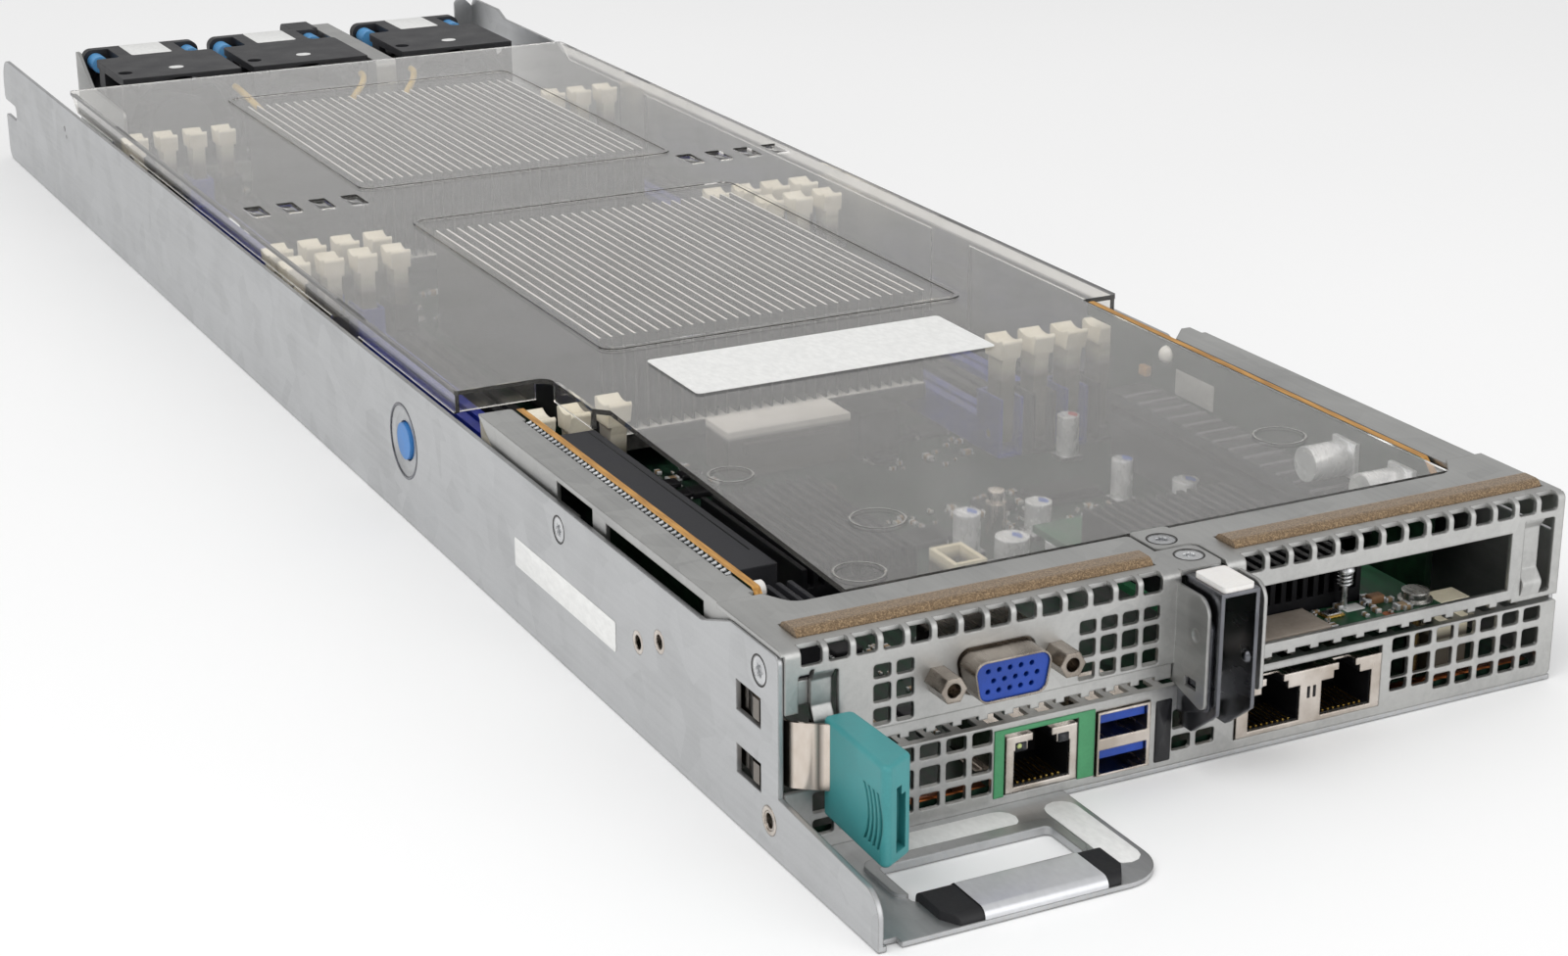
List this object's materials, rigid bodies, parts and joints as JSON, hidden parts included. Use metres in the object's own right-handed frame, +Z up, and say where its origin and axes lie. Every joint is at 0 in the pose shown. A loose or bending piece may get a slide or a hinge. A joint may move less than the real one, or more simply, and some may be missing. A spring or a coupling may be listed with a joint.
{
  "type": "server node",
  "caption": "Half-width one-unit server node: sheet-metal tray with pull handle, sprung release latch, port panel, clear air duct over board and heat sinks, and rear fans.",
  "frame": {"origin": "middle of the underside of the whole node", "axes": "+X to the right seen from the port panel, +Y from the port panel towards the fans, +Z up"},
  "size_m": [0.1766, 0.6384, 0.042],
  "materials": {
    "galvanised_steel": "mill finish galvanised sheet",
    "spring_steel": "bright nickel plate",
    "nickel": "nickel plated shell",
    "screw_steel": "zinc plated",
    "black_plastic": "moulded, matt",
    "black_rubber": "matt",
    "teal_plastic": "moulded, fine grain",
    "blue_plastic": "moulded",
    "light_blue_plastic": "moulded",
    "blue_rubber": "soft",
    "ivory_plastic": "moulded",
    "white_plastic": "smooth",
    "smoky_clear": "clear smoky sheet",
    "label_paper": "blank label",
    "green_label": "blank label",
    "gasket_fabric": "conductive weave over foam",
    "board_green": "solder mask",
    "aluminium": "bare fins",
    "black_anodised": "black anodised",
    "can_aluminium": "capacitor can",
    "thermal_pad": "soft pad",
    "yellow_wire": "insulated wire"
  },
  "bodies": {
    "chassis": {"tray": "galvanised_steel", "handle_grip": "black_rubber", "bare_labels": "label_paper", "io_panel": "galvanised_steel", "centre_guide": "galvanised_steel", "guide_pad": "white_plastic", "riser_bracket_left": "galvanised_steel", "riser_bracket_right": "galvanised_steel", "top_gaskets": "gasket_fabric", "flat_head_screws": "screw_steel", "tubular_rivets": "screw_steel", "spring_anchor": "spring_steel", "main_board": "board_green", "pan_head_screws": "screw_steel", "cpu_sockets": "nickel", "heat_sink_front": "aluminium", "heat_sink_rear": "aluminium", "dimm_sockets_blue": "blue_plastic", "dimm_sockets_black": "black_plastic", "power_connector": "white_plastic", "board_capacitors": "can_aluminium", "board_chips": "black_plastic", "board_connectors": "ivory_plastic", "riser_card_left": "board_green", "riser_card_right": "board_green", "riser_slots": "black_plastic", "riser_board_connectors": "black_plastic", "card_guide": "black_plastic", "mezzanine_card": "board_green", "mezzanine_pad": "thermal_pad", "black_heat_sinks": "black_anodised", "lan_shell": "nickel", "twin_lan_shell": "nickel", "lan_cores": "black_plastic", "port_surround": "green_label", "usb_shell": "nickel", "usb_core": "blue_plastic", "vga_shell": "nickel", "vga_insert": "blue_plastic", "vga_jack_screws": "nickel", "fan_housings": "black_plastic", "fan_grommets": "blue_rubber", "fan_bracket": "galvanised_steel", "rear_connector": "black_plastic", "fan_leads": "yellow_wire"},
    "release_latch": {"release_spring": "spring_steel", "release_grip": "teal_plastic"},
    "side_button": {"duct_button": "light_blue_plastic"},
    "duct": {"air_duct": "smoky_clear", "duct_label": "label_paper"},
    "latch_row_1": {"latches_front_bank_front": "ivory_plastic"},
    "latch_row_2": {"latches_front_bank_rear": "ivory_plastic"},
    "latch_row_3": {"latches_rear_bank_front": "ivory_plastic"},
    "latch_row_4": {"latches_rear_bank_rear": "ivory_plastic"},
    "fan_1_front": {"fan_1_front_rotor": "black_plastic"},
    "fan_1_rear": {"fan_1_rear_rotor": "black_plastic"},
    "fan_2_front": {"fan_2_front_rotor": "black_plastic"},
    "fan_2_rear": {"fan_2_rear_rotor": "black_plastic"},
    "fan_3_front": {"fan_3_front_rotor": "black_plastic"},
    "fan_3_rear": {"fan_3_rear_rotor": "black_plastic"}
  },
  "joints": [
    {"name": "release_press", "type": "hinge", "parent": "chassis", "child": "release_latch", "pos_m": [-0.0865, -0.23625, 0.021], "axis": [0, 0, 1], "range_deg": [0, 3.5], "stiffness_Nm_per_rad": 12},
    {"name": "button_press", "type": "slide", "parent": "chassis", "child": "side_button", "axis": [1, 0, 0], "range_m": [0, 0.0018], "stiffness_N_per_m": 700},
    {"name": "duct_lift", "type": "slide", "parent": "chassis", "child": "duct", "axis": [0, 0, 1], "range_m": [0, 0.05]},
    {"name": "latch_row_1_turn", "type": "hinge", "parent": "chassis", "child": "latch_row_1", "pos_m": [0, -0.12325, 0.0094], "axis": [1, 0, 0], "range_deg": [0, 6]},
    {"name": "latch_row_2_turn", "type": "hinge", "parent": "chassis", "child": "latch_row_2", "pos_m": [0, 0.01975, 0.0094], "axis": [-1, 0, 0], "range_deg": [0, 6]},
    {"name": "latch_row_3_turn", "type": "hinge", "parent": "chassis", "child": "latch_row_3", "pos_m": [0, 0.03625, 0.0094], "axis": [1, 0, 0], "range_deg": [0, 6]},
    {"name": "latch_row_4_turn", "type": "hinge", "parent": "chassis", "child": "latch_row_4", "pos_m": [0, 0.17925, 0.0094], "axis": [-1, 0, 0], "range_deg": [0, 6]},
    {"name": "fan_1_front_spin", "type": "hinge", "parent": "chassis", "child": "fan_1_front", "pos_m": [-0.04665, 0.25045, 0.021], "axis": [0, 1, 0], "continuous": true},
    {"name": "fan_1_rear_spin", "type": "hinge", "parent": "chassis", "child": "fan_1_rear", "pos_m": [-0.04665, 0.27805, 0.021], "axis": [0, 1, 0], "continuous": true},
    {"name": "fan_2_front_spin", "type": "hinge", "parent": "chassis", "child": "fan_2_front", "pos_m": [-0.00245, 0.25045, 0.021], "axis": [0, 1, 0], "continuous": true},
    {"name": "fan_2_rear_spin", "type": "hinge", "parent": "chassis", "child": "fan_2_rear", "pos_m": [-0.00245, 0.27805, 0.021], "axis": [0, 1, 0], "continuous": true},
    {"name": "fan_3_front_spin", "type": "hinge", "parent": "chassis", "child": "fan_3_front", "pos_m": [0.05025, 0.25045, 0.021], "axis": [0, 1, 0], "continuous": true},
    {"name": "fan_3_rear_spin", "type": "hinge", "parent": "chassis", "child": "fan_3_rear", "pos_m": [0.05025, 0.27805, 0.021], "axis": [0, 1, 0], "continuous": true}
  ]
}
